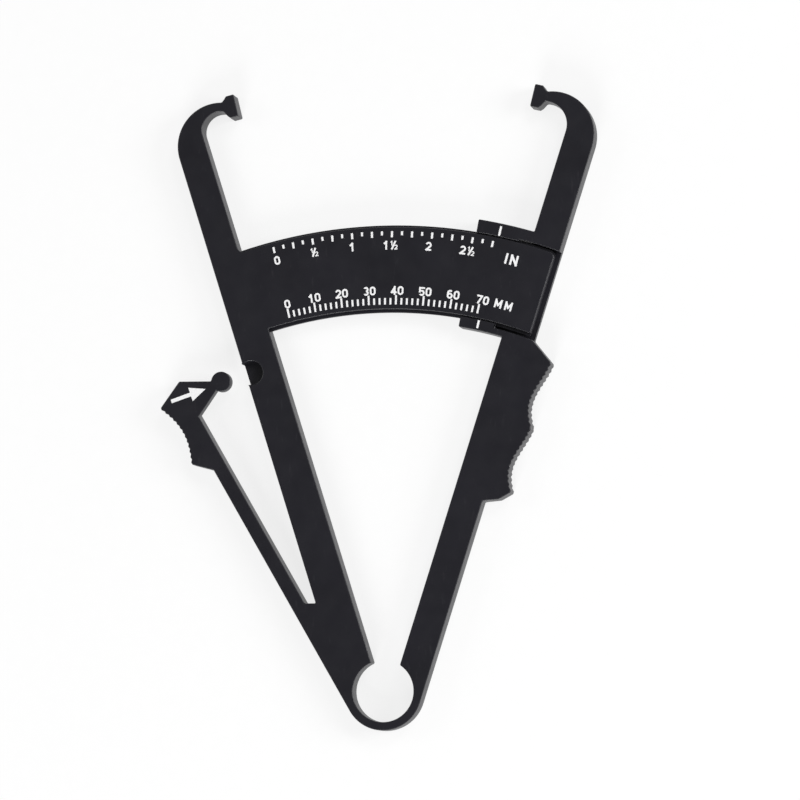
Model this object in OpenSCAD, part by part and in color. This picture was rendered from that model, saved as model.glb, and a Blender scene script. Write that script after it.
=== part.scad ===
// Skinfold caliper: two arms in one flat moulding, joined by a thin C-shaped
// hinge loop, with an arc scale, a guide for it and a sprung thumb lever.
// It lies on its back face. The origin is the centre of the hinge loop's hole
// on that face, +Y runs up the middle of the open V and +Z comes out of the
// printed face.

/* [Body] */
// Thickness of the moulding
thickness = 5; // [4:0.1:7]
// Radius of the hole inside the hinge loop
loop_r = 7.3; // [6:0.1:8.5]
// Thickness of the thin strip that is the hinge
loop_wall = 2; // [1.6:0.1:2.4]
// Height above the hole at which the loop passes into the arms
loop_rise = 2.2; // [1.6:0.1:3]

/* [Arms] */
// Angle that the fixed arm leans out past its jaw face
fixed_flare = 3.85; // [3.45:0.05:4.25]
// Angle that the moving arm leans out past its jaw face
moving_flare = 4; // [3.6:0.05:4.4]
// Width of the fixed arm below the scale
fixed_arm_w = 8.6; // [8:0.1:8.7]
// Width of the fixed arm above the scale
fixed_upper_w = 7.2; // [6:0.1:7.4]
// Width of the moving arm
moving_arm_w = 7.3; // [6:0.1:7.4]
// Radius in the corner of the fixed arm and the scale
corner_r = 1.3; // [1:0.1:1.4]

/* [Jaws] */
// Distance from the hinge axis to the middle of a jaw face
jaw_reach = 153.9; // [145:0.1:165]
// Opening between the jaw faces at rest
jaw_opening = 72.4; // [66:0.1:78]
// Length of a jaw face
jaw_len = 5.5; // [5:0.1:8]
// Thickness of a jaw head
jaw_t = 2.6; // [2:0.1:3.2]
// Bevel on the rear corners of a jaw head
jaw_bevel = 0.65; // [0.3:0.05:0.9]
// Flare from the jaw head to the end of its neck
jaw_root = 0.7; // [0.4:0.1:1.2]
// Thickness of the neck behind a jaw head
neck_t = 2.4; // [1.8:0.1:3]
// How far the neck sits above the middle of the jaw head
neck_rise = 0.35; // [0:0.05:0.6]
// Outer radius of both hooks
hook_r = 10.4; // [9:0.1:11]
// Inner radius of the fixed hook
fixed_hook_inner_r = 4.4; // [4:0.1:5]
// Inner radius of the moving hook
moving_hook_inner_r = 5.6; // [4.4:0.1:6]

/* [Scale and guide] */
// Radius of the scale's lower edge about the hinge axis
scale_r = 99.1; // [92:0.1:104]
// Height of the scale from its lower to its upper edge
scale_h = 19.8; // [18:0.1:24]
// Thickness of the floor behind the scale
floor_t = 1.9; // [1.4:0.1:2.4]
// Sliding clearance between scale and guide
slide_gap = 0.25; // [0.15:0.05:0.35]
// Distance from the end of the scale to the outer edge of the moving arm
scale_inset = 1; // [0.4:0.1:2]
// Radius of the scale's free corner
scale_corner_r = 1.2; // [0.6:0.1:2]
// How far the guide ridge stands out of the scale's upper edge
upper_ridge_out = 0.45; // [0.3:0.05:0.6]
// How far the guide ridge stands out of the scale's lower edge
lower_ridge_out = 0.7; // [0.3:0.05:0.9]
// Thickness of the guide ridges
ridge_t = 0.8; // [0.6:0.1:1]
// Height of the guide tab above the scale
upper_tab_h = 3.2; // [2.6:0.1:4]
// Height of the guide tab below the scale
lower_tab_h = 2.6; // [2.2:0.1:3]
// Angle by which a tab runs ahead of its index line
tab_lead = 2.7; // [2:0.1:2.7]
// Angle by which a tab runs behind its index line
tab_trail = 2.4; // [2:0.1:3]
// Room between the scale's upper edge and the arm above it
upper_relief = 0.75; // [0.6:0.05:1.2]
// Room between the scale's lower edge and the arm below it
lower_relief = 1.3; // [0.6:0.1:1.6]

/* [Finger grip] */
// Distance from the hole's centre along the arm to the grip's lower end
grip_start = 49.8; // [46:0.1:54]
// Height of the lower shoulder of the grip
grip_foot = 3.8; // [3:0.1:5]
// How far the heel in the middle of that shoulder stands out of the arm
heel_out = 3.6; // [3:0.1:4.2]
// Height of the heel above the grip's lower end
heel_rise = 1.5; // [1:0.1:2.2]
// Length of the slope above the upper scallop
grip_run_out = 4.4; // [3:0.1:6]
// Length of one finger scallop
scallop_len = 16.1; // [14:0.1:17]
// Depth of a finger scallop
scallop_depth = 2.1; // [1.5:0.1:2.6]
// Skew of a scallop: above 1, its deepest place lies lower down
scallop_skew = 1.5; // [1:0.1:2]
// How far the grip stands out of the arm
grip_out = 5.8; // [5:0.1:7]
// Height of the fine ridges on the grips
ridge_h = 0.28; // [0.1:0.02:0.3]
// Number of fine ridges on one scallop
ridge_count = 13; // [8:1:18]

/* [Thumb lever] */
// Lean of the lever from the middle line
lever_lean = 30; // [28.5:0.1:31.5]
// Thickness of the thin strip of the lever
beam_w = 3.3; // [2:0.1:3.6]
// Distance along the lever from the hole's level to the strip's root
beam_root = 27.6; // [25:0.1:31]
// Length of the bending strip
beam_len = 39; // [36:0.1:41]
// Distance from the strip's root to the point about which the pad swings
swing_offset = 4; // [2:0.1:10]
// Angle of the lever's travel
lever_travel = 8.2; // [7.8:0.1:9]
// Distance from the hole's centre along the arm to the pocket
pocket_at = 82.4; // [81:0.1:84]
// Depth of the pocket's centre inside the arm's edge
pocket_inset = 1.4; // [1:0.1:1.8]
// Radius of the pocket
pocket_r = 2.9; // [2.8:0.1:3.4]
// Thickness left under the pocket
pocket_floor = 2.2; // [1.4:0.1:2.6]
// Clearance round and under the disc in its pocket
disc_gap = 0.35; // [0.25:0.05:0.5]
// Radius of the disc
disc_r = 2.4; // [1.9:0.1:2.5]
// Length of the ridged thumb face
pad_len = 15.9; // [13:0.1:17]
// How far the pad stands out of the strip
pad_out = 3.8; // [2.5:0.1:5]
// Depth of the hollow in the thumb face
pad_hollow = 2; // [1:0.1:2.4]
// Height of the pad's peak above its thumb corner
pad_peak = 3.2; // [1:0.1:4]
// Width of the neck where it leaves the pad
neck_root_w = 9.8; // [7:0.1:11]
// Width of the neck where it meets the disc
neck_tip_w = 2.1; // [1.6:0.1:3]
// How far back from the disc's centre the neck's corners end
neck_tip_back = 1.6; // [1.2:0.1:1.8]

/* [Print] */
// Thickness of the printed marks
print_t = 0.08; // [0.05:0.01:0.2]
// Width of a printed tick
tick_w = 0.5; // [0.25:0.01:0.6]
// Width of a tick of the millimetre scale
mm_tick_w = 0.45; // [0.25:0.01:0.6]
// Height of the numerals
numeral_h = 2.1; // [1.6:0.1:2.4]
// Width of a pen stroke
stroke_w = 0.42; // [0.25:0.01:0.45]
// Gap between the long inch ticks and their numerals
inch_text_gap = 0.85; // [0.4:0.05:1.4]
// Gap between the long millimetre ticks and their numerals, which nearly touch
mm_text_gap = 0.05; // [0.05:0.05:0.6]
// Length of a short tick of the millimetre scale
mm_tick_len = 1.55; // [1:0.05:2]
// Length of a long tick of the millimetre scale
mm_long_tick_len = 2.25; // [1.8:0.05:2.5]
// Length of a short tick of the inch scale
inch_tick_len = 0.95; // [0.6:0.05:1.2]
// Length of a long tick of the inch scale
inch_long_tick_len = 1.45; // [1.2:0.05:2]
// Distance from the scale's edge to its ticks
tick_margin = 1.1; // [0.8:0.05:1.5]
// Angle by which the printed scale sits towards its guide: it then reads low
print_shift = 0.45; // [0:0.05:0.6]
// Length of the index line on the upper tab
upper_index_len = 2.3; // [1:0.1:2.3]
// Length of the index line on the lower tab
lower_index_len = 1.9; // [1:0.1:1.9]
// Distance from a tab's edge beside the scale to its index line
index_margin = 0.2; // [0.1:0.05:0.4]
// Length of the arrow
arrow_len = 8.9; // [7:0.1:10]
// Length of the arrow's head
arrow_head = 3.9; // [2.5:0.1:4.5]
// Width of the arrow's head
arrow_w = 3.4; // [2:0.1:4]
// Width of the arrow's shaft
arrow_shaft_w = 0.9; // [0.5:0.05:1.2]
// Distance from the disc's centre back to the arrow's tip
arrow_gap = 4.05; // [3:0.05:5]
// Distance of the arrow from the disc's path, towards the strip
arrow_aside = 0.45; // [0:0.05:0.8]

/* [Hidden] */
$fa = 4;
$fs = 0.25;

plastic = [0.15, 0.15, 0.17];
ink = [0.95, 0.95, 0.95];
mm_per_inch = 25.4;
far = 300;

// The hinge loop bends about the middle of its thin strip, below the hole.
loop_outer = loop_r + loop_wall;
hinge_axis = [0, -(loop_r + loop_wall / 2)];
half_open = asin(jaw_opening / 2 / jaw_reach);
zero_deg = 90 + half_open - print_shift;
index_deg = 90 - half_open;
fixed_lean = half_open + fixed_flare;
moving_lean = half_open + moving_flare;
// The loop and the arms meet square across, above the hole.
loop_top = loop_r + loop_rise;

// Edges of the arms, across each arm, from the line through the hole's centre
outer_edge = -loop_outer;
fixed_edge = outer_edge + fixed_arm_w;
fixed_upper_edge = outer_edge + fixed_upper_w;
moving_edge = outer_edge + moving_arm_w;
// The fillet over the scale ends short of the edge of the arm below it.
fillet_room = 0.1;
fillet_r = min(corner_r, fixed_arm_w - fixed_upper_w - fillet_room);

// Distance from a jaw face to the end of its neck
neck_plane = jaw_t + jaw_root;

// Scale and guide, as radii about the hinge axis and heights
scale_top_r = scale_r + scale_h;
scale_z = floor_t + slide_gap;
ridge_z = (scale_z + thickness - ridge_t) / 2;
guide_low_r = scale_r - lower_relief;
guide_high_r = scale_top_r + upper_relief;

// Thumb lever: the pocket sets where the disc lies at the end of its travel.
beam_end = beam_root + beam_len;
beam_edge = outer_edge + beam_w;
swing_axis = beam_pt(outer_edge + beam_w / 2, beam_root + swing_offset);
pocket = arm_pt(outer_edge + pocket_inset, pocket_at);
disc = swing_axis + turn(pocket - swing_axis, lever_travel);
disc_z = pocket_floor + disc_gap;
pad_top = beam_end + pad_out + pad_len;

// Printed marks
inch_tick_r = scale_top_r - tick_margin;
mm_tick_r = scale_r + tick_margin;
inch_text_r = inch_tick_r - inch_long_tick_len - inch_text_gap - numeral_h / 2;
mm_text_r = mm_tick_r + mm_long_tick_len + mm_text_gap + numeral_h / 2;

// ---- geometry helpers ----

function turn(p, a) = [p.x * cos(a) - p.y * sin(a), p.x * sin(a) + p.y * cos(a)];
// A point of the fixed arm: u across it, inwards, and v along it, upwards
function arm_pt(u, v) = turn([u, v], fixed_lean);
// A point of the moving arm, counted the same way from the other side
function moving_pt(u, v) = let (p = turn([u, v], moving_lean)) [-p.x, p.y];
// A point of the lever, across it and along it
function beam_pt(u, v) = turn([u, v], lever_lean);
// Where an arm's edge u reaches the height y, measured along the arm
function along_at(u, y, lean) = (y - u * sin(lean)) / cos(lean);
// Where an arm's edge u reaches the radius r about the hinge axis
function along_at_r(u, r, lean) =
    let (axis = turn(hinge_axis, -lean))
    axis.y + sqrt(r * r - pow(u - axis.x, 2));
// Angle that the jaws open for a gap of g millimetres
function gap_deg(g) = 2 * asin(g / 2 / jaw_reach);
// Point on the jaw head of the fixed arm: t behind its face and s along it
function jaw_pt(t, s) = hinge_axis + turn([-t, jaw_reach + s], half_open);
// Centre of an arc of radius r that leaves the edge u and ends at the point p
function arc_centre(u, r, p) = [u + r, p.y - sqrt(r * r - pow(p.x - u - r, 2))];
// Centre of a hook's outer arc, in the directions of an arm with that lean
function hook_centre(lean) =
    arc_centre(outer_edge, hook_r, turn(jaw_pt(neck_plane, neck_rise + neck_t / 2), -lean));
// Depth of a ridged hollow at the share f of its length
function ridged(f, depth, skew) =
    depth * sin(180 * pow(f, skew)) - ridge_h * (1 - abs(2 * (f * ridge_count % 1) - 1));

// Children drawn across and along the moving arm
module moving_side() {
    mirror([1, 0, 0])
        rotate(moving_lean)
            children();
}

// Flat sector between two radii about the hinge axis
module sector(r_in, r_out, a_from, a_to) {
    translate(hinge_axis)
        intersection() {
            difference() {
                circle(r = r_out);
                circle(r = r_in);
            }
            polygon([[0, 0], far * [cos(a_from), sin(a_from)], far * [cos(a_to), sin(a_to)]]);
        }
}

// ---- arms ----

// Fillet of radius r between the fixed arm and the scale's upper edge, downwards
function scale_corner(r) =
    let (u = fixed_upper_edge + r, v = along_at_r(u, scale_top_r, fixed_lean) + r)
    [for (a = [180 : 10 : 270]) arm_pt(u + r * cos(a), v + r * sin(a))];

module fixed_arm() {
    slot_floor_y = beam_pt(beam_edge, beam_root).y;
    top_v = hook_centre(fixed_lean).y;
    outer_side = [
        beam_pt(outer_edge, along_at(outer_edge, loop_top, lever_lean)),
        beam_pt(outer_edge, beam_root),
        beam_pt(beam_edge, beam_root),
        arm_pt(outer_edge, along_at(outer_edge, slot_floor_y, fixed_lean)),
        arm_pt(outer_edge, top_v)
    ];
    inner_side = [
        arm_pt(fixed_edge, along_at_r(fixed_edge, scale_top_r, fixed_lean)),
        arm_pt(fixed_edge, along_at(fixed_edge, loop_top, fixed_lean))
    ];
    color(plastic)
        difference() {
            linear_extrude(thickness)
                polygon(concat(
                    outer_side,
                    [arm_pt(fixed_upper_edge, top_v)],
                    scale_corner(fillet_r),
                    inner_side
                ));
            translate([pocket.x, pocket.y, pocket_floor])
                cylinder(r = pocket_r, h = thickness);
        }
}

// Stretch of the moving arm from the level of the loop's top to far above
module moving_strip() {
    polygon([
        moving_pt(outer_edge, along_at(outer_edge, loop_top, moving_lean)),
        moving_pt(moving_edge, along_at(moving_edge, loop_top, moving_lean)),
        moving_pt(moving_edge, far), moving_pt(outer_edge, far)
    ]);
}

module moving_arm() {
    color(plastic)
        linear_extrude(thickness)
            intersection() {
                moving_strip();
                translate(hinge_axis)
                    circle(r = guide_low_r);
            }
}

module moving_upper_arm() {
    color(plastic)
        linear_extrude(thickness)
            difference() {
                moving_side()
                    translate([outer_edge, 0])
                        square([moving_arm_w, hook_centre(moving_lean).y]);
                translate(hinge_axis)
                    circle(r = guide_high_r);
            }
}

module guide_floor() {
    color(plastic)
        linear_extrude(floor_t)
            intersection() {
                moving_strip();
                sector(guide_low_r, guide_high_r, 0, 90);
            }
}

// ---- hooks and jaws ----

// Hook at the top of an arm, drawn as for the fixed one
module hook(inner_r, lean, arm_w) {
    centre = hook_centre(lean);
    inner_edge = outer_edge + arm_w;
    inner = arc_centre(inner_edge, inner_r, turn(jaw_pt(neck_plane, neck_rise - neck_t / 2), -lean));
    difference() {
        rotate(lean)
            difference() {
                intersection() {
                    translate(centre)
                        circle(r = hook_r);
                    translate([-far, centre.y])
                        square([2 * far, far]);
                }
                translate(inner)
                    circle(r = inner_r);
                translate([inner_edge, 0])
                    square([far, inner.y]);
            }
        polygon([
            jaw_pt(neck_plane, -far / 2), jaw_pt(neck_plane, far / 2),
            jaw_pt(-far, far / 2), jaw_pt(-far, -far / 2)
        ]);
    }
}

// Jaw head of the fixed arm: a flat face on a T that narrows into its neck
module jaw_head() {
    end = jaw_len / 2;
    polygon([
        jaw_pt(0, -end), jaw_pt(0, end),
        jaw_pt(jaw_t - jaw_bevel, end), jaw_pt(jaw_t, end - jaw_bevel),
        jaw_pt(neck_plane, neck_rise + neck_t / 2), jaw_pt(neck_plane, neck_rise - neck_t / 2),
        jaw_pt(jaw_t, jaw_bevel - end), jaw_pt(jaw_t - jaw_bevel, -end)
    ]);
}

module fixed_hook() {
    color(plastic)
        linear_extrude(thickness)
            hook(fixed_hook_inner_r, fixed_lean, fixed_upper_w);
}

module moving_hook() {
    color(plastic)
        linear_extrude(thickness)
            mirror([1, 0, 0])
                hook(moving_hook_inner_r, moving_lean, moving_arm_w);
}

module fixed_jaw() {
    color(plastic)
        linear_extrude(thickness)
            jaw_head();
}

module moving_jaw() {
    color(plastic)
        linear_extrude(thickness)
            mirror([1, 0, 0])
                jaw_head();
}

// ---- hinge loop ----

// Foot of the loop under an arm: a wedge from the hole's centre out to the
// straight edges u_out, which touches the loop, and u_in
module loop_foot(u_out, u_in, out_lean, in_lean) {
    polygon([
        [0, 0],
        turn([u_out, 0], out_lean),
        turn([u_out, along_at(u_out, loop_top, out_lean)], out_lean),
        turn([u_in, along_at(u_in, loop_top, in_lean)], in_lean),
        turn([u_in, 0], in_lean)
    ]);
}

module hinge_loop() {
    color(plastic)
        difference() {
            union() {
                linear_extrude(thickness)
                    loop_ring();
                linear_extrude(thickness)
                    loop_foot(outer_edge, fixed_edge, lever_lean, fixed_lean);
                linear_extrude(thickness)
                    mirror([1, 0, 0])
                        loop_foot(outer_edge, moving_edge, moving_lean, moving_lean);
            }
            cylinder(r = loop_r, h = thickness);
        }
}

// The loop's round part, open towards the arms
module loop_ring() {
    difference() {
        circle(r = loop_outer);
        polygon([[0, 0], [-far, 2 * far], [far, 2 * far]]);
    }
}

// ---- scale and guide ----

// The scale between two radii, from the fixed arm to its free end
module scale_outline(r_in, r_out) {
    end_u = outer_edge + scale_inset;
    corner_u = end_u + scale_corner_r;
    corner_v = along_at_r(corner_u, r_out - scale_corner_r, moving_lean);
    difference() {
        sector(r_in, r_out, 45, 135);
        rotate(fixed_lean)
            translate([fixed_edge - far, 0])
                square([far, far]);
        moving_side()
            translate([end_u - far, 0])
                square([far, far]);
        moving_side()
            difference() {
                translate([end_u - scale_corner_r, corner_v])
                    square([2 * scale_corner_r, 2 * scale_corner_r]);
                translate([corner_u, corner_v])
                    circle(r = scale_corner_r);
            }
    }
}

module scale_plate() {
    color(plastic) {
        translate([0, 0, scale_z])
            linear_extrude(thickness - scale_z)
                scale_outline(scale_r, scale_top_r);
        translate([0, 0, ridge_z])
            linear_extrude(ridge_t)
                scale_outline(scale_r - lower_ridge_out, scale_top_r + upper_ridge_out);
    }
}

// Groove for the scale's ridge, between two radii
module ridge_groove(r_in, r_out) {
    translate([0, 0, ridge_z - slide_gap])
        linear_extrude(ridge_t + 2 * slide_gap)
            sector(r_in, r_out, 45, 135);
}

// Tab beside the scale, from its free end to the moving arm: above the guide's
// floor, the part behind the index line is cut back between two further radii
module guide_tab(r_in, r_out, relief_in, relief_out) {
    difference() {
        linear_extrude(thickness)
            difference() {
                sector(r_in, r_out, 45, index_deg + tab_lead);
                moving_side()
                    translate([moving_edge - far, 0])
                        square([far, far]);
            }
        translate([0, 0, floor_t])
            linear_extrude(thickness)
                sector(relief_in, relief_out, 0, index_deg - tab_trail);
    }
}

module upper_guide_tab() {
    inner = scale_top_r + slide_gap;
    color(plastic)
        difference() {
            guide_tab(inner, inner + upper_tab_h, scale_r, guide_high_r);
            ridge_groove(scale_r, scale_top_r + upper_ridge_out + slide_gap);
        }
}

module lower_guide_tab() {
    outer = scale_r - slide_gap;
    color(plastic)
        difference() {
            guide_tab(outer - lower_tab_h, outer, guide_low_r, scale_top_r);
            ridge_groove(scale_r - lower_ridge_out - slide_gap, scale_top_r);
        }
}

// ---- finger grip ----

// Points of one scallop, from the level v upwards
function scallop(v) =
    let (steps = 4 * ridge_count)
    [for (i = [0 : steps]) let (f = i / steps)
        [outer_edge - grip_out + ridged(1 - f, scallop_depth, scallop_skew), v + f * scallop_len]];

module finger_grip() {
    first = grip_start + grip_foot;
    last = first + 2 * scallop_len;
    color(plastic)
        linear_extrude(thickness)
            moving_side()
                polygon(concat(
                    [[outer_edge, grip_start], [outer_edge - heel_out, grip_start + heel_rise]],
                    scallop(first),
                    scallop(first + scallop_len),
                    [[outer_edge, last + grip_run_out]]
                ));
}

// ---- thumb lever ----

module lever_beam() {
    color(plastic)
        linear_extrude(thickness)
            rotate(lever_lean)
                translate([outer_edge, beam_root])
                    square([beam_w, beam_len]);
}

module thumb_pad() {
    steps = 4 * ridge_count;
    foot_v = beam_end + pad_out;
    color(plastic)
        linear_extrude(thickness)
            rotate(lever_lean)
                polygon(concat(
                    [[beam_edge, beam_end], [outer_edge, beam_end]],
                    [for (i = [0 : steps]) let (f = i / steps)
                        [outer_edge - pad_out + ridged(f, pad_hollow, 1), foot_v + f * pad_len]],
                    [[beam_edge, pad_top + pad_peak]]
                ));
}

module lever_neck() {
    tip = turn(disc, -lever_lean) - [neck_tip_back, 0];
    color(plastic)
        translate([0, 0, disc_z])
            linear_extrude(thickness - disc_z)
                difference() {
                    rotate(lever_lean)
                        polygon([
                            [beam_edge, pad_top + pad_peak - neck_root_w],
                            [beam_edge, pad_top + pad_peak],
                            tip + [0, neck_tip_w / 2],
                            tip - [0, neck_tip_w / 2]
                        ]);
                    translate(disc)
                        circle(r = disc_r);
                }
}

module set_disc() {
    color(plastic)
        translate([disc.x, disc.y, disc_z])
            cylinder(r = disc_r, h = thickness - disc_z);
}

// ---- printed marks ----

// Print on the top face
module print_on_top() {
    color(ink)
        translate([0, 0, thickness])
            linear_extrude(print_t)
                children();
}

// Place something at a radius and angle about the hinge axis, upright there
module at_polar(r, a) {
    translate(hinge_axis + r * [cos(a), sin(a)])
        rotate(a - 90)
            children();
}

// Radial bar from the radius r outwards
module radial_bar(r, len, a, w = tick_w) {
    at_polar(r, a)
        translate([-w / 2, 0])
            square([w, len]);
}

module inch_ticks() {
    eighths = 22;
    print_on_top()
        for (i = [0 : eighths]) {
            len = i % 2 == 0 ? inch_long_tick_len : inch_tick_len;
            radial_bar(inch_tick_r - len, len, zero_deg - gap_deg(i * mm_per_inch / 8));
        }
}

module mm_ticks() {
    last_mm = 70;
    print_on_top()
        for (g = [0 : 2 : last_mm])
            radial_bar(mm_tick_r, g % 10 == 0 ? mm_long_tick_len : mm_tick_len,
                zero_deg - gap_deg(g), mm_tick_w);
}

module upper_index_line() {
    print_on_top()
        radial_bar(scale_top_r + slide_gap + index_margin, upper_index_len, index_deg);
}

module lower_index_line() {
    print_on_top()
        radial_bar(scale_r - slide_gap - index_margin - lower_index_len, lower_index_len, index_deg);
}

// Arrow on the lever, along the way that the disc travels
module arrow_mark() {
    arm = disc - swing_axis;
    print_on_top()
        translate(disc)
            rotate(atan2(-arm.x, arm.y))
                translate([-arrow_gap, -arrow_aside])
                    polygon([
                        [0, 0], [-arrow_head, arrow_w / 2],
                        [-arrow_head, arrow_shaft_w / 2], [-arrow_len, arrow_shaft_w / 2],
                        [-arrow_len, -arrow_shaft_w / 2], [-arrow_head, -arrow_shaft_w / 2],
                        [-arrow_head, -arrow_w / 2]
                    ]);
}

// ---- numerals: pen strokes in a box two units high ----

pen = 2 * stroke_w / numeral_h;
digit_w = 1.35;

// Pen stroke from a to b
module stroke(a, b) {
    d = b - a;
    translate(a)
        rotate(atan2(d.y, d.x))
            translate([-pen / 2, -pen / 2])
                square([norm(d) + pen, pen]);
}

// Arc of the pen about c from the angle a over the sweep s
module bow(c, r, a, s) {
    reach = 3 * r;
    steps = ceil(s / 60);
    translate(c)
        intersection() {
            difference() {
                circle(r = r + pen / 2, $fn = 24);
                circle(r = r - pen / 2, $fn = 24);
            }
            if (s < 360)
                polygon(concat([[0, 0]],
                    [for (i = [0 : steps]) reach * [cos(a + s * i / steps), sin(a + s * i / steps)]]));
        }
}

module digit(d) {
    right = (digit_w - pen) / 2;
    left = -right;
    bottom = pen / 2;
    top = 2 - bottom;
    low = right + bottom;
    high = top - right;
    // Radius and centre of the upper bow of a digit that has two
    small = (top - bottom) / 4;
    if (d == 0) {
        bow([0, high], right, 0, 180);
        bow([0, low], right, 180, 180);
        stroke([left, low], [left, high]);
        stroke([right, low], [right, high]);
    }
    if (d == 1) {
        stroke([0.1, bottom], [0.1, top]);
        stroke([0.1, top], [-0.3, top - 0.35]);
    }
    if (d == 2) {
        bow([0, high], right, -35, 200);
        stroke([0, high] + right * [cos(-35), sin(-35)], [left, bottom]);
        stroke([left, bottom], [right, bottom]);
    }
    if (d == 3) {
        bow([0, top - small], small, -90, 240);
        bow([0, bottom + small], small, -150, 240);
    }
    if (d == 4) {
        stroke([0.2, bottom], [0.2, top]);
        stroke([0.2, top], [left, 0.6]);
        stroke([left, 0.6], [right, 0.6]);
    }
    if (d == 5) {
        bow([0, low], right, -145, 265);
        stroke([left, low + 0.25], [left, top]);
        stroke([left, top], [right, top]);
    }
    if (d == 6) {
        bow([0, low], right, 0, 360);
        bow([0, high], right, 45, 135);
        stroke([left, low], [left, high]);
    }
    if (d == 7) {
        stroke([left, top], [right, top]);
        stroke([right, top], [-0.15, bottom]);
    }
}

// A half as a fraction: small one, slash and small two
module half() {
    small = 0.55;
    translate([-0.5, 2 - 2 * small])
        scale(small)
            digit(1);
    stroke([-0.4, 0.2], [0.3, 1.8]);
    translate([0.5, 0])
        scale(small)
            digit(2);
}

// One drawing, centred at x in a row of numerals
module placed(x) {
    scale(numeral_h / 2)
        translate([x, -1])
            children();
}

// A number of one or two digits
module number(n) {
    step = digit_w / 2 + 0.1;
    if (n < 10) {
        placed(0)
            digit(n);
    } else {
        placed(-step)
            digit(floor(n / 10));
        placed(step)
            digit(n % 10);
    }
}

module mm_numerals() {
    last_mm = 70;
    shift = 0.13;
    last_shift = 0.2;
    print_on_top()
        for (g = [0 : 10 : last_mm])
            at_polar(mm_text_r, zero_deg - gap_deg(g) - shift - (g == last_mm ? last_shift : 0))
                number(g);
}

module inch_numerals() {
    halves = 5;
    // Each numeral stands a little further back than the one before.
    drift = 0.1;
    print_on_top()
        for (i = [0 : halves])
            at_polar(inch_text_r, zero_deg - gap_deg(i * mm_per_inch / 2) + drift * (i - 1)) {
                whole = floor(i / 2);
                if (i % 2 == 0) {
                    placed(0)
                        digit(whole);
                } else if (whole == 0) {
                    placed(0)
                        half();
                } else {
                    placed(-1)
                        digit(whole);
                    placed(0.85)
                        half();
                }
            }
}

module letter_i() {
    stroke([0, pen / 2], [0, 2 - pen / 2]);
}

module letter_n() {
    side = 0.55;
    stroke([-side, pen / 2], [-side, 2 - pen / 2]);
    stroke([side, pen / 2], [side, 2 - pen / 2]);
    stroke([-side, 2 - pen / 2], [side, pen / 2]);
}

module letter_m() {
    side = 0.65;
    stroke([-side, pen / 2], [-side, 2 - pen / 2]);
    stroke([side, pen / 2], [side, 2 - pen / 2]);
    stroke([-side, 2 - pen / 2], [0, 0.6]);
    stroke([side, 2 - pen / 2], [0, 0.6]);
}

module unit_letters() {
    inch_mark_scale = 1.2;
    inch_mark_back = 2.1;
    mm_mark_back = 2.7;
    print_on_top() {
        at_polar(inch_text_r, index_deg - inch_mark_back)
            scale(inch_mark_scale) {
                placed(-0.95)
                    letter_i();
                placed(0.55)
                    letter_n();
            }
        at_polar(mm_text_r, index_deg - mm_mark_back) {
            placed(-1.2)
                letter_m();
            placed(1.2)
                letter_m();
        }
    }
}

fixed_arm();
fixed_hook();
fixed_jaw();
scale_plate();
inch_ticks();
mm_ticks();
inch_numerals();
mm_numerals();
unit_letters();
hinge_loop();
lever_beam();
moving_arm();
guide_floor();
upper_guide_tab();
lower_guide_tab();
moving_upper_arm();
moving_hook();
moving_jaw();
finger_grip();
upper_index_line();
lower_index_line();
thumb_pad();
lever_neck();
set_disc();
arrow_mark();
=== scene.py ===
from math import asin, atan2, ceil, cos, degrees, floor, pi, radians, sin, sqrt

import bmesh
import bpy
import numpy as np
from mathutils import Matrix, Vector
from mathutils.geometry import delaunay_2d_cdt


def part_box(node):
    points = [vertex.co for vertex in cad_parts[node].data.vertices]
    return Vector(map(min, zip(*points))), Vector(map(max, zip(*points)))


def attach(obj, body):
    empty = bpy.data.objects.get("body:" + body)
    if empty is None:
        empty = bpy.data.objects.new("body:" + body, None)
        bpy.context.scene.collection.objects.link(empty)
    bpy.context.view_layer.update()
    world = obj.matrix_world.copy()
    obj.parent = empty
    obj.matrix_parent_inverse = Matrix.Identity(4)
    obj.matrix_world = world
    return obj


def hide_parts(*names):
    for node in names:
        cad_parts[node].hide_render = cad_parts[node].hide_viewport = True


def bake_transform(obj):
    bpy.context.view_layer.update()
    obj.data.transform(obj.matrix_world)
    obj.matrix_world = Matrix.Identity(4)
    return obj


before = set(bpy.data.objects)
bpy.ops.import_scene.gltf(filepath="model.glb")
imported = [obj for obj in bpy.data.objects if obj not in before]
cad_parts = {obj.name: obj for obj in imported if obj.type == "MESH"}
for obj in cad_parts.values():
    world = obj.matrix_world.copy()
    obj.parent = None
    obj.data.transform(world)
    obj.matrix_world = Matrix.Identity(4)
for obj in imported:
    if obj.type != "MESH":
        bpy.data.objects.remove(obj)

# The caliper is one flat moulding. Its outlines are drawn here in plan, in
# millimetres, with the sizes of the CAD source, stacked to one solid without
# seams, rounded along its edges, and then cut where it bends.
MM = 0.001
START_OBJECTS = ("Cube", "Light", "Camera")
for name in START_OBJECTS:
    if name in bpy.data.objects:
        bpy.data.objects.remove(bpy.data.objects[name])
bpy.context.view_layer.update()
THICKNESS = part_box("fixed_arm")[1].z / MM

# ---- sizes, in millimetres and degrees ----

LOOP_R = 7.3
LOOP_WALL = 2
LOOP_RISE = 2.2
FIXED_FLARE = 3.85
MOVING_FLARE = 4
FIXED_ARM_W = 8.6
FIXED_UPPER_W = 7.2
MOVING_ARM_W = 7.3
CORNER_R = 1.3

JAW_REACH = 153.9
JAW_OPENING = 72.4
JAW_LEN = 5.5
JAW_T = 2.6
JAW_BEVEL = 0.65
JAW_ROOT = 0.7
NECK_T = 2.4
NECK_RISE = 0.35
HOOK_R = 10.4
FIXED_HOOK_INNER_R = 4.4
MOVING_HOOK_INNER_R = 5.6

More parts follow.
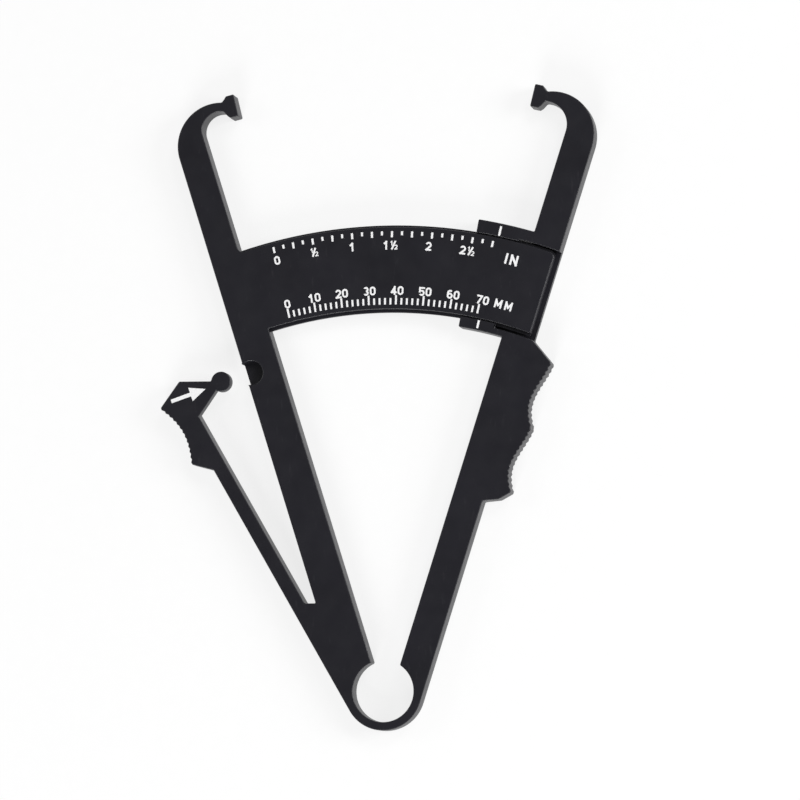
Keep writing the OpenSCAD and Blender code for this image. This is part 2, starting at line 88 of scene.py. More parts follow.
SCALE_R = 99.1
SCALE_H = 19.8
FLOOR_T = 1.9
SLIDE_GAP = 0.25
SCALE_INSET = 1
SCALE_CORNER_R = 1.2
UPPER_RIDGE_OUT = 0.45
LOWER_RIDGE_OUT = 0.7
RIDGE_T = 0.8
UPPER_TAB_H = 3.2
LOWER_TAB_H = 2.6
TAB_LEAD = 2.7
TAB_TRAIL = 2.4
UPPER_RELIEF = 0.75
LOWER_RELIEF = 1.3
# How far the ridge's outline runs into the fixed arm, and how many times the
# tabs' angles the groove goes to
RIDGE_ROOT = 1
GROOVE_OVERRUN = 2

GRIP_START = 49.8
GRIP_FOOT = 3.8
HEEL_OUT = 3.6
HEEL_RISE = 1.5
SCALLOP_LEN = 16.1
SCALLOP_DEPTH = 2.1
SCALLOP_SKEW = 1.5
GRIP_OUT = 5.8
RIDGE_H = 0.28
RIDGE_COUNT = 13

LEVER_LEAN = 30
BEAM_W = 3.3
BEAM_ROOT = 27.6
BEAM_LEN = 39
SWING_OFFSET = 4
LEVER_TRAVEL = 8.2
POCKET_AT = 82.4
POCKET_INSET = 1.4
POCKET_R = 2.9
POCKET_FLOOR = 2.2
DISC_GAP = 0.35
DISC_R = 2.4
PAD_LEN = 15.9
PAD_OUT = 3.8
PAD_HOLLOW = 2
PAD_PEAK = 3.2
NECK_ROOT_W = 9.8
NECK_TIP_W = 2.1
NECK_TIP_BACK = 1.6

# Rounding of the edges. Upright edges that turn less than SHARP_CORNER, such as
# the fine ridges, stay as they are.
EDGE_R = 0.3
EDGE_STEPS = 3
ROUND_PROFILE = 0.5
SHARP_TURN = 25
SHARP_CORNER = 50
# How finely arcs are drawn: arcs wider than WIDE_R take the smaller step. No
# point of the grid lies closer to an arc's end than this share of the step.
SMALL_ARC_STEP = 4
WIDE_ARC_STEP = 1
WIDE_R = 50
END_ROOM = 1 / 4
# Points nearer than WELD are one, faces that turn less than FLAT_TURN are
# merged, and heights that agree to these digits are one level.
WELD = 1e-3
CUT_WELD = WELD / 10
FLAT_TURN = 0.2
LEVEL_DIGITS = 4

LOOP_OUTER = LOOP_R + LOOP_WALL
HINGE = np.array([0, -(LOOP_R + LOOP_WALL / 2)])
LOOP_TOP = LOOP_R + LOOP_RISE
HALF_OPEN = degrees(asin(JAW_OPENING / 2 / JAW_REACH))
INDEX_DEG = 90 - HALF_OPEN
FIXED_LEAN = HALF_OPEN + FIXED_FLARE
MOVING_LEAN = HALF_OPEN + MOVING_FLARE
OUTER_EDGE = -LOOP_OUTER
FIXED_EDGE = OUTER_EDGE + FIXED_ARM_W
FIXED_UPPER_EDGE = OUTER_EDGE + FIXED_UPPER_W
MOVING_EDGE = OUTER_EDGE + MOVING_ARM_W
NECK_PLANE = JAW_T + JAW_ROOT
SCALE_TOP_R = SCALE_R + SCALE_H
SCALE_Z = FLOOR_T + SLIDE_GAP
RIDGE_Z = (SCALE_Z + THICKNESS - RIDGE_T) / 2
GUIDE_LOW_R = SCALE_R - LOWER_RELIEF
GUIDE_HIGH_R = SCALE_TOP_R + UPPER_RELIEF
BEAM_END = BEAM_ROOT + BEAM_LEN
BEAM_EDGE = OUTER_EDGE + BEAM_W
PAD_TOP = BEAM_END + PAD_OUT + PAD_LEN
DISC_Z = POCKET_FLOOR + DISC_GAP


# ---- plan geometry ----

def turn(point, angle):
    """The point turned about the origin, anticlockwise."""
    c, s = cos(radians(angle)), sin(radians(angle))
    return np.array([point[0] * c - point[1] * s, point[0] * s + point[1] * c])


def mirrored(points):
    """The points on the other side of the middle line."""
    return [np.array([-p[0], p[1]]) for p in points]


def arm_pt(u, v):
    """A point of the fixed arm: u across it, inwards, and v along it, upwards."""
    return turn((u, v), FIXED_LEAN)


def moving_pt(u, v):
    """A point of the moving arm, counted the same way from the other side."""
    x, y = turn((u, v), MOVING_LEAN)
    return np.array([-x, y])


def beam_pt(u, v):
    """A point of the lever's strip and pad, counted as on the fixed arm."""
    return turn((u, v), LEVER_LEAN)


def along_at(u, y, lean):
    """Where an arm's edge u reaches the height y, measured along the arm."""
    return (y - u * sin(radians(lean))) / cos(radians(lean))


def along_at_r(u, r, lean):
    """Where an arm's edge u reaches the radius r about the hinge."""
    axis = turn(HINGE, -lean)
    return axis[1] + sqrt(r * r - (u - axis[0]) ** 2)


def jaw_pt(t, s):
    """A point of the fixed jaw head: t behind its face and s along it."""
    return HINGE + turn((-t, JAW_REACH + s), HALF_OPEN)


def angle_of(point, centre):
    """Direction in which the point lies from the centre."""
    return degrees(atan2(point[1] - centre[1], point[0] - centre[0]))


def arc(centre, r, start, end):
    """Points on an arc from one angle to another. Those between its ends lie at
    whole steps, so that two arcs on one circle share their points."""
    step = WIDE_ARC_STEP if r > WIDE_R else SMALL_ARC_STEP
    low, high = sorted((start, end))
    grid = [step * i for i in range(ceil(low / step), floor(high / step) + 1)]
    near = step * END_ROOM
    inner = [a for a in grid if low + near < a < high - near]
    angles = [low] + inner + [high]
    if start > end:
        angles.reverse()
    return [np.array(centre) + r * np.array([cos(radians(a)), sin(radians(a))]) for a in angles]


def wide_arc(r, start, end):
    """Arc about the hinge between two points or angles."""
    a, b = (x if np.isscalar(x) else angle_of(x, HINGE) for x in (start, end))
    return arc(HINGE, r, a, b)


def ridged(f, depth, skew):
    """Depth of a ridged hollow at the share f of its length."""
    wave = 1 - abs(2 * (f * RIDGE_COUNT % 1) - 1)
    return depth * sin(pi * min(f, 1) ** skew) - RIDGE_H * wave


def ridge_shares():
    """Shares of a ridged face's length at which its outline bends."""
    steps = 2 * RIDGE_COUNT
    return [i / steps for i in range(steps + 1)]


# ---- outlines ----

def hook_and_jaw(lean, edge, inner_r):
    """The top of an arm from its outer edge over hook and jaw to its inner edge,
    drawn as for the fixed arm."""
    outer_end = turn(jaw_pt(NECK_PLANE, NECK_RISE + NECK_T / 2), -lean)
    inner_end = turn(jaw_pt(NECK_PLANE, NECK_RISE - NECK_T / 2), -lean)

    def centre(u, r, end):
        return np.array([u + r, end[1] - sqrt(r * r - (end[0] - u - r) ** 2)])

    outer = centre(OUTER_EDGE, HOOK_R, outer_end)
    inner = centre(edge, inner_r, inner_end)
    end = JAW_LEN / 2
    head = [
        jaw_pt(JAW_T, end - JAW_BEVEL), jaw_pt(JAW_T - JAW_BEVEL, end),
        jaw_pt(0, end), jaw_pt(0, -end),
        jaw_pt(JAW_T - JAW_BEVEL, -end), jaw_pt(JAW_T, JAW_BEVEL - end),
    ]
    over = [turn(p, lean) for p in arc(outer, HOOK_R, 180, angle_of(outer_end, outer))]
    under = [turn(p, lean) for p in arc(inner, inner_r, angle_of(inner_end, inner), 180)]
    return over + head + under


def fixed_left():
    """Outer side of the fixed arm, from the loop to the hook."""
    slot_floor_y = beam_pt(BEAM_EDGE, BEAM_ROOT)[1]
    return [
        beam_pt(OUTER_EDGE, along_at(OUTER_EDGE, LOOP_TOP, LEVER_LEAN)),
        beam_pt(OUTER_EDGE, BEAM_ROOT),
        beam_pt(BEAM_EDGE, BEAM_ROOT),
        arm_pt(OUTER_EDGE, along_at(OUTER_EDGE, slot_floor_y, FIXED_LEAN)),
    ]


def upper_corner():
    """Fillet between the fixed arm's upper inner edge and the scale's top."""
    u = FIXED_UPPER_EDGE + CORNER_R
    v = along_at_r(u, SCALE_TOP_R + CORNER_R, FIXED_LEAN)
    down = angle_of(turn(HINGE, -FIXED_LEAN), (u, v))
    return [turn(p, FIXED_LEAN) for p in arc((u, v), CORNER_R, 180, down + 360)]


def edge_at(r, u=FIXED_EDGE):
    """Where the fixed arm's edge u crosses the radius r about the hinge."""
    return arm_pt(u, along_at_r(u, r, FIXED_LEAN))


def fixed_top():
    """The fixed arm above the scale: hook, jaw and inner edge."""
    return hook_and_jaw(FIXED_LEAN, FIXED_UPPER_EDGE, FIXED_HOOK_INNER_R) + upper_corner()


def fixed_foot():
    return arm_pt(FIXED_EDGE, along_at(FIXED_EDGE, LOOP_TOP, FIXED_LEAN))


def fixed_arm():
    """The whole fixed arm, without the scale."""
    return fixed_left() + fixed_top() + [edge_at(SCALE_TOP_R), fixed_foot()]


def scale_end(r_low, r_high):
    """Free end of the scale, downwards, with its rounded upper corner."""
    u = OUTER_EDGE + SCALE_INSET
    corner_u = u + SCALE_CORNER_R
    corner = (corner_u, along_at_r(corner_u, r_high - SCALE_CORNER_R, MOVING_LEAN))
    up = angle_of(corner, turn(HINGE, -MOVING_LEAN))
    bend = mirrored(turn(p, MOVING_LEAN) for p in arc(corner, SCALE_CORNER_R, up, 180))
    return bend + [moving_pt(u, along_at_r(u, r_low, MOVING_LEAN))]


def fixed_arm_and_scale():
    """The fixed arm and the scale as one outline."""
    corner = upper_corner()[-1]
    end = scale_end(SCALE_R, SCALE_TOP_R)
    top = wide_arc(SCALE_TOP_R, corner, edge_at(SCALE_TOP_R))
    top += wide_arc(SCALE_TOP_R, edge_at(SCALE_TOP_R), end[0])
    low = wide_arc(SCALE_R, end[-1], edge_at(SCALE_R))
    return fixed_left() + fixed_top() + top + end + low + [fixed_foot()]


def scale_ridge():
    """The ridge's own plan: the scale, wider above and below."""
    r_low, r_high = SCALE_R - LOWER_RIDGE_OUT, SCALE_TOP_R + UPPER_RIDGE_OUT
    end = scale_end(r_low, r_high)
    top = wide_arc(r_high, edge_at(r_high, FIXED_UPPER_EDGE - RIDGE_ROOT), end[0])
    low = wide_arc(r_low, end[-1], edge_at(r_low, FIXED_EDGE - RIDGE_ROOT))
    return top + end + low


def hinge_loop():
    """The C-shaped ring below both arms."""
    left, right = fixed_left()[0], moving_outer_foot()
    outer = arc((0, 0), LOOP_OUTER, 180 + LEVER_LEAN, 360 - MOVING_LEAN)
    hole_right = moving_pt(MOVING_EDGE, sqrt(LOOP_R ** 2 - MOVING_EDGE ** 2))
    hole_left = arm_pt(FIXED_EDGE, sqrt(LOOP_R ** 2 - FIXED_EDGE ** 2))
    hole = arc((0, 0), LOOP_R, angle_of(hole_right, (0, 0)), angle_of(hole_left, (0, 0)) - 360)
    return [left] + outer + [right, moving_inner_foot()] + hole + [fixed_foot()]


def moving_outer_foot():
    return moving_pt(OUTER_EDGE, along_at(OUTER_EDGE, LOOP_TOP, MOVING_LEAN))


def moving_inner_foot():
    return moving_pt(MOVING_EDGE, along_at(MOVING_EDGE, LOOP_TOP, MOVING_LEAN))


def guide_at(u, r):
    """Where the moving arm's edge u crosses the radius r about the hinge."""
    return moving_pt(u, along_at_r(u, r, MOVING_LEAN))


def grip():
    """Outer side of the finger grip, upwards."""
    first = GRIP_START + GRIP_FOOT
    points = [(OUTER_EDGE, GRIP_START), (OUTER_EDGE - HEEL_OUT, GRIP_START + HEEL_RISE)]
    for start in (first, first + SCALLOP_LEN):
        for f in ridge_shares():
            u = OUTER_EDGE - GRIP_OUT + ridged(1 - f, SCALLOP_DEPTH, SCALLOP_SKEW)
            points.append((u, start + f * SCALLOP_LEN))
    return [moving_pt(u, v) for u, v in points]


def tab_edge(tab_r, relief_r, cut_back):
    """Edge of a tab beside the scale, from the moving arm to the tab's free end.
    Where it is cut back, it keeps off the scale behind the index line."""
    lead = INDEX_DEG + TAB_LEAD
    if not cut_back:
        return wide_arc(tab_r, guide_at(MOVING_EDGE, tab_r), lead)
    trail = INDEX_DEG - TAB_TRAIL
    relief = wide_arc(relief_r, guide_at(MOVING_EDGE, relief_r), trail)
    return relief + wide_arc(tab_r, trail, lead)


def lower_block(cut_back):
    """The moving arm below the scale, with the grip and the lower tab."""
    tab_r = SCALE_R - SLIDE_GAP
    low_in, low_out = guide_at(MOVING_EDGE, GUIDE_LOW_R), guide_at(OUTER_EDGE, GUIDE_LOW_R)
    under = guide_at(MOVING_EDGE, tab_r - LOWER_TAB_H)
    return (
        [moving_outer_foot()] + grip()
        + wide_arc(GUIDE_LOW_R, low_out, low_in)
        + tab_edge(tab_r, GUIDE_LOW_R, cut_back)
        + wide_arc(tab_r - LOWER_TAB_H, INDEX_DEG + TAB_LEAD, under)
        + [moving_inner_foot()]
    )


def upper_block(cut_back):
    """The moving arm above the scale, with its hook, its jaw and the upper tab."""
    tab_r = SCALE_TOP_R + SLIDE_GAP
    high_in, high_out = guide_at(MOVING_EDGE, GUIDE_HIGH_R), guide_at(OUTER_EDGE, GUIDE_HIGH_R)
    over = guide_at(MOVING_EDGE, tab_r + UPPER_TAB_H)
    return (
        mirrored(hook_and_jaw(MOVING_LEAN, MOVING_EDGE, MOVING_HOOK_INNER_R))
        + wide_arc(tab_r + UPPER_TAB_H, over, INDEX_DEG + TAB_LEAD)
        + tab_edge(tab_r, GUIDE_HIGH_R, cut_back)[::-1]
        + wide_arc(GUIDE_HIGH_R, high_in, high_out)
    )


def guide_floor():
    """The thin floor behind the scale, between the two blocks."""
    low = [guide_at(u, GUIDE_LOW_R) for u in (OUTER_EDGE, MOVING_EDGE)]
    high = [guide_at(u, GUIDE_HIGH_R) for u in (MOVING_EDGE, OUTER_EDGE)]
    return wide_arc(GUIDE_LOW_R, *low) + wide_arc(GUIDE_HIGH_R, *high)


def groove():
    """What the tabs leave free for the ridge of the scale."""
    r_low = SCALE_R - LOWER_RIDGE_OUT - SLIDE_GAP
    r_high = SCALE_TOP_R + UPPER_RIDGE_OUT + SLIDE_GAP
    a = INDEX_DEG - GROOVE_OVERRUN * TAB_TRAIL
    b = INDEX_DEG + GROOVE_OVERRUN * TAB_LEAD
    return wide_arc(r_low, a, b) + wide_arc(r_high, b, a)


def lever():
    """The strip and the ridged thumb pad."""
    points = [(BEAM_EDGE, BEAM_ROOT), (OUTER_EDGE, BEAM_ROOT), (OUTER_EDGE, BEAM_END)]
    for f in ridge_shares():
        u = OUTER_EDGE - PAD_OUT + ridged(f, PAD_HOLLOW, 1)
        points.append((u, BEAM_END + PAD_OUT + f * PAD_LEN))
    points.append((BEAM_EDGE, PAD_TOP + PAD_PEAK))
    return [beam_pt(u, v) for u, v in points]


SWING_AXIS = beam_pt(OUTER_EDGE + BEAM_W / 2, BEAM_ROOT + SWING_OFFSET)
POCKET = arm_pt(OUTER_EDGE + POCKET_INSET, POCKET_AT)
DISC = SWING_AXIS + turn(POCKET - SWING_AXIS, LEVER_TRAVEL)


def lever_neck():
    """The neck that narrows from the pad to the disc."""
    tip = turn(DISC, -LEVER_LEAN) - (NECK_TIP_BACK, 0)
    half = np.array([0, NECK_TIP_W / 2])
    top = PAD_TOP + PAD_PEAK
    return [turn(p, LEVER_LEAN) for p in (
        (BEAM_EDGE, top - NECK_ROOT_W), (BEAM_EDGE, top), tip + half, tip - half)]


def disc(centre, r):
    return arc(centre, r, 0, 360)[:-1]


# ---- one stacked solid ----

# Each row: an outline, the heights between which it goes, and whether it adds to
# the rows above or takes away from them
MEMBERS = [
    (lower_block(False), 0, FLOOR_T, True),
    (lower_block(True), FLOOR_T, THICKNESS, True),
    (upper_block(False), 0, FLOOR_T, True),
    (upper_block(True), FLOOR_T, THICKNESS, True),
    (groove(), RIDGE_Z - SLIDE_GAP, RIDGE_Z + RIDGE_T + SLIDE_GAP, False),
    (guide_floor(), 0, FLOOR_T, True),
    (fixed_arm(), 0, SCALE_Z, True),
    (fixed_arm_and_scale(), SCALE_Z, THICKNESS, True),
    (scale_ridge(), RIDGE_Z, RIDGE_Z + RIDGE_T, True),
    (disc(POCKET, POCKET_R), POCKET_FLOOR, THICKNESS, False),
    (hinge_loop(), 0, THICKNESS, True),
    (lever(), 0, THICKNESS, True),
    (lever_neck(), DISC_Z, THICKNESS, True),
    (disc(DISC, DISC_R), DISC_Z, THICKNESS, True),
]


def inside(points, outline):
    """Which of the points lie inside the outline."""
    x, y = points.T
    result = np.zeros(len(points), bool)
    for a, b in zip(outline, outline[1:] + outline[:1]):
        if a[1] == b[1]:
            continue
        crosses = (a[1] > y) != (b[1] > y)
        result ^= crosses & (x < a[0] + (y - a[1]) * (b[0] - a[0]) / (b[1] - a[1]))
    return result


def arrangement(outlines):
    """All outlines laid over each other and cut into triangles."""
    points, edges = [], []
    for outline in outlines:
        first = len(points)
        count = len(outline)
        points += [Vector(p) for p in outline]
        edges += [(first + i, first + (i + 1) % count) for i in range(count)]
    found = delaunay_2d_cdt(points, edges, [], 0, WELD)
    return np.array([tuple(p) for p in found[0]]), [tuple(f) for f in found[2]]


def stacked(members):
    """One closed mesh of all members, with no walls where they join."""
    plan, triangles = arrangement([m[0] for m in members])
    middles = np.array([plan[list(t)].mean(axis=0) for t in triangles])
    within = [inside(middles, m[0]) for m in members]
    levels = sorted({round(z, LEVEL_DIGITS) for m in members for z in m[1:3]})
    filled = [np.zeros(len(triangles), bool)]
    for low, high in zip(levels, levels[1:]):
        middle = (low + high) / 2
        layer = np.zeros(len(triangles), bool)
        for (_, bottom, top, adds), mask in zip(members, within):
            if bottom < middle < top:
                layer = layer | mask if adds else layer & ~mask
        filled.append(layer)
    filled.append(np.zeros(len(triangles), bool))
    return stack_mesh(plan, triangles, levels, filled)


def stack_mesh(plan, triangles, levels, filled):
    """Mesh of layers of triangles: filled[k] says which ones lie under level k."""
    solid = bmesh.new()
    made = {}

    def corner(i, k):
        if (i, k) not in made:
            made[i, k] = solid.verts.new((*plan[i], levels[k]))
        return made[i, k]

    beside = {}
    for index, (a, b, c) in enumerate(triangles):
        for edge in ((a, b), (b, c), (c, a)):
            beside[edge] = index
    for k in range(len(levels)):
        below, above = filled[k], filled[k + 1]
        for index, triangle in enumerate(triangles):
            if below[index] and not above[index]:
                solid.faces.new([corner(i, k) for i in triangle])
            if above[index] and not below[index]:
                solid.faces.new([corner(i, k) for i in reversed(triangle)])
        for (a, b), index in beside.items():
            other = beside.get((b, a))
            if above[index] and not (other is not None and above[other]):
                solid.faces.new([corner(a, k), corner(b, k), corner(b, k + 1), corner(a, k + 1)])
    return solid


def is_level(edge):
    """Whether both ends of the edge are at one height."""
    return abs(edge.verts[0].co.z - edge.verts[1].co.z) < WELD


def round_edges(solid):
    """Merges what is flat and rounds the rims and the upright corners."""
    solid.normal_update()
    bmesh.ops.dissolve_limit(
        solid, angle_limit=radians(FLAT_TURN), verts=solid.verts, edges=solid.edges)
    solid.normal_update()
    rims = (0, THICKNESS)
    chosen = []
    for edge in solid.edges:
        on_rim = min(abs(edge.verts[0].co.z - rim) for rim in rims) < WELD
        least = SHARP_TURN if is_level(edge) else SHARP_CORNER
        if edge.calc_face_angle(0) > radians(least) and (on_rim or not is_level(edge)):
            chosen.append(edge)
    bmesh.ops.bevel(
        solid, geom=chosen, offset=EDGE_R, offset_type="OFFSET", segments=EDGE_STEPS,
        profile=ROUND_PROFILE, affect="EDGES", clamp_overlap=False)


# ---- materials ----

# Colours are linear. A noise is given by its features per metre and its detail,
# the scratches' also by their stretch and turn, and a grain's also by its
# strength and its depth in metres.
PLASTIC_DARK = (0.0062, 0.0059, 0.0094)
PLASTIC_LIGHT = (0.0092, 0.0088, 0.0134)
PLASTIC_RUBBED = (0.017, 0.0165, 0.021)
PLASTIC_ROUGHNESS = (0.38, 0.44)
PLASTIC_SPECULAR = 0.5
PLASTIC_CLOUDS = (70, 4)
PLASTIC_SHEEN = (220, 5)
PLASTIC_SCRATCHES = (1300, 3, (1, 0.2, 1), 17)
PLASTIC_GRAIN = (4200, 3, 0.25, 0.00003)
# Only the peaks of the scratches' noise, between these values, show.
SCRATCH_PEAKS = (0.64, 0.80)
INK_DULL = (0.80, 0.80, 0.81)
INK_BRIGHT = (0.92, 0.92, 0.92)
INK_ROUGHNESS = (0.45, 0.6)
INK_SPECULAR = 0.3
INK_SPOTS = (2600, 3)
INK_WEAR = (900, 2)
INK_GRAIN = (5200, 2, 0.15, 0.00001)


def node_material(name):
    """A new material, with its node tree and its shader."""
    material = bpy.data.materials.new(name)
    material.use_nodes = True
    tree = material.node_tree
    return material, tree, tree.nodes["Principled BSDF"]


def add(tree, kind, **values):
    """A new node with these settings."""
    node = tree.nodes.new(kind)
    for key, value in values.items():
        setattr(node, key, value)
    return node


def noise(tree, scale, detail, stretch=(1, 1, 1), turned=0):
    """Noise at a number of features per metre, in the object's own place."""
    place = add(tree, "ShaderNodeTexCoord")
    mapping = add(tree, "ShaderNodeMapping")
    mapping.inputs["Scale"].default_value = stretch
    mapping.inputs["Rotation"].default_value = (0, 0, radians(turned))
    texture = add(tree, "ShaderNodeTexNoise")
    texture.inputs["Scale"].default_value = scale
    texture.inputs["Detail"].default_value = detail
    tree.links.new(place.outputs["Object"], mapping.inputs["Vector"])
    tree.links.new(mapping.outputs["Vector"], texture.inputs["Vector"])
    return texture.outputs["Fac"]


def spread(tree, value, low, high, from_low=0.3, from_high=0.7):
    """The value, moved from one range to another."""
    node = add(tree, "ShaderNodeMapRange")
    node.inputs["From Min"].default_value = from_low
    node.inputs["From Max"].default_value = from_high
    node.inputs["To Min"].default_value = low
    node.inputs["To Max"].default_value = high
    tree.links.new(value, node.inputs["Value"])
    return node.outputs["Result"]


def mixed(tree, share, colour_a, colour_b):
    """The first colour where the share is 0 and the second where it is 1. A
    colour is a tuple or a socket."""
    node = add(tree, "ShaderNodeMix", data_type="RGBA")
    for socket, value in (("A", colour_a), ("B", colour_b)):
        target = next(i for i in node.inputs if i.name == socket and i.type == "RGBA")
        if isinstance(value, tuple):
            target.default_value = (*value, 1)
        else:
            tree.links.new(value, target)
    tree.links.new(share, node.inputs["Factor"])
    return next(o for o in node.outputs if o.type == "RGBA")


def fine_grain(tree, shader, scale, detail, strength, depth):
    """Fine unevenness of the surface."""
    bump = add(tree, "ShaderNodeBump")
    bump.inputs["Strength"].default_value = strength
    bump.inputs["Distance"].default_value = depth
    tree.links.new(noise(tree, scale, detail), bump.inputs["Height"])
    tree.links.new(bump.outputs["Normal"], shader.inputs["Normal"])


def black_plastic():
    """Near-black satin moulding: cloudy tone, fine grain and faint scratches."""
    material, tree, shader = node_material("black_plastic")
    cloudy = spread(tree, noise(tree, *PLASTIC_CLOUDS), 0, 1)
    tone = mixed(tree, cloudy, PLASTIC_DARK, PLASTIC_LIGHT)
    rubbed = spread(tree, noise(tree, *PLASTIC_SCRATCHES), 0, 1, *SCRATCH_PEAKS)
    tone = mixed(tree, rubbed, tone, PLASTIC_RUBBED)
    tree.links.new(tone, shader.inputs["Base Color"])
    sheen = spread(tree, noise(tree, *PLASTIC_SHEEN), *PLASTIC_ROUGHNESS)
    tree.links.new(sheen, shader.inputs["Roughness"])
    shader.inputs["Specular IOR Level"].default_value = PLASTIC_SPECULAR
    fine_grain(tree, shader, *PLASTIC_GRAIN)
    return material


def white_ink():
    """Pad print: flat white, a little uneven where it was pressed on."""
    material, tree, shader = node_material("white_ink")
    uneven = spread(tree, noise(tree, *INK_SPOTS), 0, 1)
    tone = mixed(tree, uneven, INK_DULL, INK_BRIGHT)
    tree.links.new(tone, shader.inputs["Base Color"])
    wear = spread(tree, noise(tree, *INK_WEAR), *INK_ROUGHNESS)
    tree.links.new(wear, shader.inputs["Roughness"])
    shader.inputs["Specular IOR Level"].default_value = INK_SPECULAR
    fine_grain(tree, shader, *INK_GRAIN)
    return material


PLASTIC = black_plastic()
INK = white_ink()
PRINTED = (
    "inch_ticks", "mm_ticks", "inch_numerals", "mm_numerals", "unit_letters",
    "upper_index_line", "lower_index_line", "arrow_mark",
)
for name in PRINTED:
    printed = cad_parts[name].data
    printed.materials.clear()
    printed.materials.append(INK)


# ---- pieces: the solid cut where it bends ----

def cut(solid, point, direction):
    """New edges wherever the solid crosses the plane."""
    bmesh.ops.bisect_plane(
        solid, geom=solid.verts[:] + solid.edges[:] + solid.faces[:],
        plane_co=(*point, 0), plane_no=(*direction, 0), dist=CUT_WELD)


def face_middle(face):
    return np.array(face.calc_center_median())[:2]


def island(part, seed):
    """All corners that hang together with the one nearest to the seed."""
    start = min(part.verts, key=lambda v: (v.co.xy - Vector(seed)).length)
    found, todo = {start}, [start]
    while todo:
        for edge in todo.pop().link_edges:
            fresh = [v for v in edge.verts if v not in found]
            found.update(fresh)
            todo += fresh
    return found


def piece(name, solid, belongs, seed):
    """The connected part of the solid at the seed for which belongs(place) is
    true, closed where it was cut off."""
    part = solid.copy()
    others = [f for f in part.faces if not belongs(face_middle(f))]
    bmesh.ops.delete(part, geom=others, context="FACES")
    kept = island(part, seed)
    bmesh.ops.delete(part, geom=[v for v in part.verts if v not in kept], context="VERTS")
    rim = [e for e in part.edges if len(e.link_faces) == 1]
    bmesh.ops.holes_fill(part, edges=rim, sides=0)
    mesh = bpy.data.meshes.new(name)
    part.to_mesh(mesh)
    part.free()
    mesh.transform(Matrix.Scale(MM, 4))
    mesh.shade_smooth()
    mesh.set_sharp_from_angle(angle=radians(SHARP_TURN))
    mesh.materials.append(PLASTIC)
    made = bpy.data.objects.new(name, mesh)
    bpy.context.scene.collection.objects.link(made)
    weighted = made.modifiers.new("even shading", "WEIGHTED_NORMAL")
    weighted.keep_sharp = True
    return made


def lever_frame(p):
    """Place across and along the lever."""
    return turn(p, -LEVER_LEAN)


# The slot beside the strip and the disc widens upwards. This line runs up it,
# between the disc and the arm.
SLOT_START = 1.2
SLOT_SLOPE = 0.2


def on_lever(p):
    u, v = lever_frame(p - beam_pt(BEAM_EDGE, BEAM_ROOT))
    return v > 0 and u < SLOT_START + v * SLOT_SLOPE


def on_strip(p):
    return on_lever(p) and lever_frame(p)[1] < BEAM_END


def on_loop(p):
    return p[1] < LOOP_TOP


def on_arms(p):
    return not on_loop(p) and not on_lever(p)


def on_pad(p):
    return on_lever(p) and not on_strip(p)


def build_pieces():
    solid = stacked(MEMBERS)
    round_edges(solid)
    along = turn((0, 1), LEVER_LEAN)
    cut(solid, (0, LOOP_TOP), (0, 1))
    cut(solid, beam_pt(0, BEAM_ROOT), along)
    cut(solid, beam_pt(0, BEAM_END), along)

    fixed = piece("fixed_moulding", solid, on_arms, arm_pt(OUTER_EDGE, POCKET_AT))
    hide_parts("fixed_arm", "fixed_hook", "fixed_jaw", "scale_plate")
    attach(fixed, "fixed_arm")

    moving = piece("moving_moulding", solid, on_arms, moving_pt(MOVING_EDGE, GRIP_START))
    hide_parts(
        "moving_arm", "guide_floor", "upper_guide_tab", "lower_guide_tab",
        "moving_upper_arm", "moving_hook", "moving_jaw", "finger_grip")
    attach(moving, "moving_arm")

    pad = piece("lever_moulding", solid, on_pad, DISC)
    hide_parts("thumb_pad", "lever_neck", "set_disc")
    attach(pad, "thumb_lever")

    loop = piece("loop_moulding", solid, on_loop, (0, -LOOP_OUTER))
    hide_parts("hinge_loop")
    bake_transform(loop)

    strip = piece("strip_moulding", solid, on_strip, beam_pt(OUTER_EDGE, BEAM_END))
    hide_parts("lever_beam")
    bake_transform(strip)


# ---- stage, in metres ----

CAMERA_AT = Vector((193.5, -33.4, 978.9)) * MM
LOOKS_AT = Vector((3.639, 69.230, 2.5)) * MM
LENS_MM = 189
SENSOR_MM = 36
CLIP_START = 0.01
FLOOR_SIZE = 6
FLOOR_DROP = 0.00004
PAPER_FIBRES = (300, 3)
PAPER_DARK = (0.90, 0.90, 0.90)
PAPER_LIGHT = (0.93, 0.93, 0.93)
PAPER_ROUGHNESS = 0.9
# Share of pure white in what the camera or a gloss sees of the table
PURE_WHITE = 0.8
# Brightness of the surroundings, at the horizon and overhead
WALL_LEVEL = 0.4
CEILING_LEVEL = 0.1
SCREEN_SIZE = 0.6
# Each row: a light's name, its place and its power in watts
LIGHTS = (
    ("right", (1.1, 0.2, 0.55), 11),
    ("below", (-0.2, -1.05, 0.55), 12),
    ("above", (0.6, 0.9, 1.1), 5),
    ("left", (-1.05, 0.3, 0.7), 3),
)


def camera():
    """Looks down on the printed face, with the caliper upright in the picture."""
    back = (CAMERA_AT - LOOKS_AT).normalized()
    up = Vector((0, 1, 0))
    up = (up - up.dot(back) * back).normalized()
    right = up.cross(back)
    data = bpy.data.cameras.new("camera")
    data.lens = LENS_MM
    data.sensor_width = SENSOR_MM
    data.clip_start = CLIP_START
    made = bpy.data.objects.new("camera", data)
    made.matrix_world = Matrix((
        (*(v[0] for v in (right, up, back)), CAMERA_AT[0]),
        (*(v[1] for v in (right, up, back)), CAMERA_AT[1]),
        (*(v[2] for v in (right, up, back)), CAMERA_AT[2]),
        (0, 0, 0, 1),
    ))
    bpy.context.scene.collection.objects.link(made)
    bpy.context.scene.camera = made


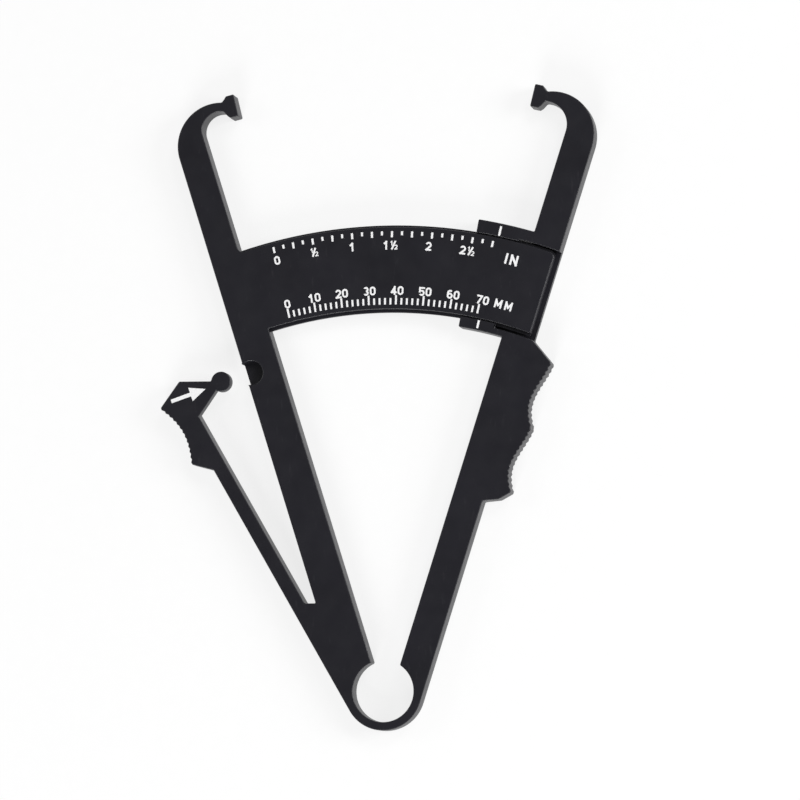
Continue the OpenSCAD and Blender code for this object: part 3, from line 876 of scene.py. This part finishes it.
def paper():
    """White table. What the camera or a gloss sees of it is mostly pure white,
    and the rest is lit, so that the shadow stays."""
    material, tree, shader = node_material("white_paper")
    fibres = spread(tree, noise(tree, *PAPER_FIBRES), 0, 1)
    tone = mixed(tree, fibres, PAPER_DARK, PAPER_LIGHT)
    tree.links.new(tone, shader.inputs["Base Color"])
    shader.inputs["Roughness"].default_value = PAPER_ROUGHNESS
    shader.inputs["Specular IOR Level"].default_value = 0
    glow = add(tree, "ShaderNodeEmission")
    path = add(tree, "ShaderNodeLightPath")
    seen = path.outputs["Is Camera Ray"]
    for kind in ("Is Glossy Ray", "Is Transmission Ray"):
        either = add(tree, "ShaderNodeMath", operation="MAXIMUM")
        tree.links.new(seen, either.inputs[0])
        tree.links.new(path.outputs[kind], either.inputs[1])
        seen = either.outputs[0]
    share = add(tree, "ShaderNodeMath", operation="MULTIPLY")
    share.inputs[1].default_value = PURE_WHITE
    tree.links.new(seen, share.inputs[0])
    both = add(tree, "ShaderNodeMixShader")
    tree.links.new(share.outputs[0], both.inputs["Fac"])
    tree.links.new(shader.outputs["BSDF"], both.inputs[1])
    tree.links.new(glow.outputs["Emission"], both.inputs[2])
    tree.links.new(both.outputs["Shader"], tree.nodes["Material Output"].inputs["Surface"])
    return material


def table():
    """The floor, just below the caliper's back."""
    half = FLOOR_SIZE / 2
    mesh = bpy.data.meshes.new("table")
    corners = [(x * half, y * half, -FLOOR_DROP) for x, y in ((-1, -1), (1, -1), (1, 1), (-1, 1))]
    mesh.from_pydata(corners, [], [(0, 1, 2, 3)])
    mesh.materials.append(paper())
    made = bpy.data.objects.new("table", mesh)
    bpy.context.scene.collection.objects.link(made)


def soft_light(name, at, power):
    """Round screen, turned to the caliper's middle."""
    data = bpy.data.lights.new(name, "AREA")
    data.shape = "DISK"
    data.size = SCREEN_SIZE
    data.energy = power
    made = bpy.data.objects.new(name, data)
    made.location = at
    made.rotation_euler = (LOOKS_AT - Vector(at)).to_track_quat("-Z", "Y").to_euler()
    bpy.context.scene.collection.objects.link(made)


def lighting():
    """Low soft lights on the right and below, a higher one above, a weak one on
    the left, and white walls under a dim ceiling: the flat face stays dark and
    its rims shine."""
    world = bpy.data.worlds.new("studio")
    world.use_nodes = True
    tree = world.node_tree
    background = tree.nodes["Background"]
    background.inputs["Color"].default_value = (1, 1, 1, 1)
    place = add(tree, "ShaderNodeTexCoord")
    axes = add(tree, "ShaderNodeSeparateXYZ")
    tree.links.new(place.outputs["Generated"], axes.inputs["Vector"])
    level = spread(tree, axes.outputs["Z"], WALL_LEVEL, CEILING_LEVEL, 0, 1)
    tree.links.new(level, background.inputs["Strength"])
    bpy.context.scene.world = world
    for light in LIGHTS:
        soft_light(*light)
    bpy.context.scene.view_settings.view_transform = "Standard"


camera()
table()
lighting()
build_pieces()
